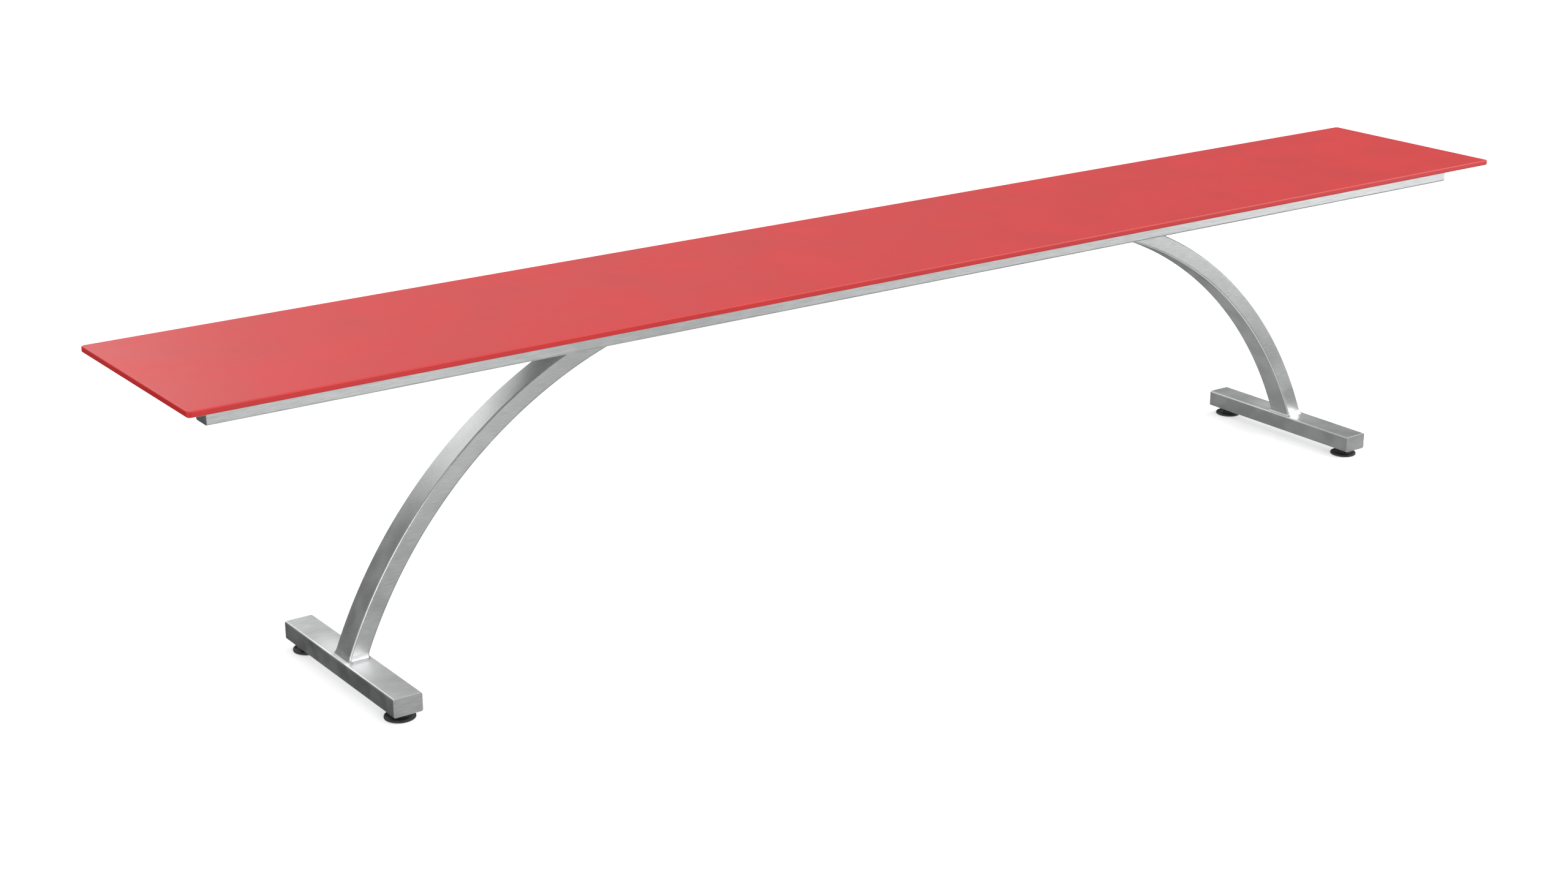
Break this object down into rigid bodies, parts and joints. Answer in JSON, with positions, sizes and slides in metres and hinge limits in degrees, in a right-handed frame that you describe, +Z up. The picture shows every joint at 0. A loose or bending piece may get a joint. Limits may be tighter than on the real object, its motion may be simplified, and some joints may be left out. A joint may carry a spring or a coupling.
{
  "type": "bench",
  "caption": "Long backless bench: a thin flat laminate seat on tubular rails, carried by curved legs on T-shaped feet with levelling glides.",
  "frame": {"origin": "on the floor, under the middle of the seat board", "axes": "+X along the bench, +Y across it towards the rear, +Z up"},
  "size_m": [2.2, 0.32, 0.452],
  "materials": {
    "red_laminate": "satin compact laminate, red through and through",
    "brushed_stainless": "brushed",
    "zinc_plated_steel": "zinc plated",
    "brass": "plain turned",
    "black_plastic": "moulded, semi-gloss"
  },
  "bodies": {
    "frame": {"seat_board": "red_laminate", "seat_inserts": "brass", "seat_screws": "zinc_plated_steel", "seat_screw_washers": "zinc_plated_steel", "front_rail": "brushed_stainless", "rear_rail": "brushed_stainless", "front_rail_end_caps": "brushed_stainless", "rear_rail_end_caps": "brushed_stainless", "left_end_cross_tube": "brushed_stainless", "left_outer_cross_tube": "brushed_stainless", "left_inner_cross_tube": "brushed_stainless", "centre_cross_tube": "brushed_stainless", "right_inner_cross_tube": "brushed_stainless", "right_outer_cross_tube": "brushed_stainless", "right_end_cross_tube": "brushed_stainless", "left_leg_nuts": "zinc_plated_steel", "left_leg_bolts": "zinc_plated_steel", "left_leg_washers": "zinc_plated_steel", "left_leg_plate": "brushed_stainless", "left_leg_tube": "brushed_stainless", "left_leg_welds": "brushed_stainless", "left_foot_bar": "brushed_stainless", "left_foot_end_caps": "brushed_stainless", "left_glide_nuts": "zinc_plated_steel", "right_leg_nuts": "zinc_plated_steel", "right_leg_bolts": "zinc_plated_steel", "right_leg_washers": "zinc_plated_steel", "right_leg_plate": "brushed_stainless", "right_leg_tube": "brushed_stainless", "right_leg_welds": "brushed_stainless", "right_foot_bar": "brushed_stainless", "right_foot_end_caps": "brushed_stainless", "right_glide_nuts": "zinc_plated_steel"},
    "left_front_pad": {"left_front_glide_pad": "black_plastic"},
    "left_front_stem": {"left_front_glide_stem": "zinc_plated_steel"},
    "left_rear_pad": {"left_rear_glide_pad": "black_plastic"},
    "left_rear_stem": {"left_rear_glide_stem": "zinc_plated_steel"},
    "right_front_pad": {"right_front_glide_pad": "black_plastic"},
    "right_front_stem": {"right_front_glide_stem": "zinc_plated_steel"},
    "right_rear_pad": {"right_rear_glide_pad": "black_plastic"},
    "right_rear_stem": {"right_rear_glide_stem": "zinc_plated_steel"}
  },
  "joints": [
    {"name": "left_front_glide_travel", "type": "slide", "parent": "frame", "child": "left_front_pad", "axis": [0, 0, -1], "range_m": [0, 0.012]},
    {"name": "left_front_glide_turn", "type": "hinge", "parent": "left_front_pad", "child": "left_front_stem", "pos_m": [-0.845, -0.1275, 0.01], "axis": [0, 0, -1], "range_deg": [0, 3456]},
    {"name": "left_rear_glide_travel", "type": "slide", "parent": "frame", "child": "left_rear_pad", "axis": [0, 0, -1], "range_m": [0, 0.012]},
    {"name": "left_rear_glide_turn", "type": "hinge", "parent": "left_rear_pad", "child": "left_rear_stem", "pos_m": [-0.845, 0.1275, 0.01], "axis": [0, 0, -1], "range_deg": [0, 3456]},
    {"name": "right_front_glide_travel", "type": "slide", "parent": "frame", "child": "right_front_pad", "axis": [0, 0, -1], "range_m": [0, 0.012]},
    {"name": "right_front_glide_turn", "type": "hinge", "parent": "right_front_pad", "child": "right_front_stem", "pos_m": [0.845, -0.1275, 0.01], "axis": [0, 0, -1], "range_deg": [0, 3456]},
    {"name": "right_rear_glide_travel", "type": "slide", "parent": "frame", "child": "right_rear_pad", "axis": [0, 0, -1], "range_m": [0, 0.012]},
    {"name": "right_rear_glide_turn", "type": "hinge", "parent": "right_rear_pad", "child": "right_rear_stem", "pos_m": [0.845, 0.1275, 0.01], "axis": [0, 0, -1], "range_deg": [0, 3456]}
  ],
  "couplings": [
    {"joint": "left_front_glide_turn", "follows": "left_front_glide_travel", "rad_per_m": 5026.5},
    {"joint": "left_rear_glide_turn", "follows": "left_rear_glide_travel", "rad_per_m": 5026.5},
    {"joint": "right_front_glide_turn", "follows": "right_front_glide_travel", "rad_per_m": 5026.5},
    {"joint": "right_rear_glide_turn", "follows": "right_rear_glide_travel", "rad_per_m": 5026.5}
  ]
}
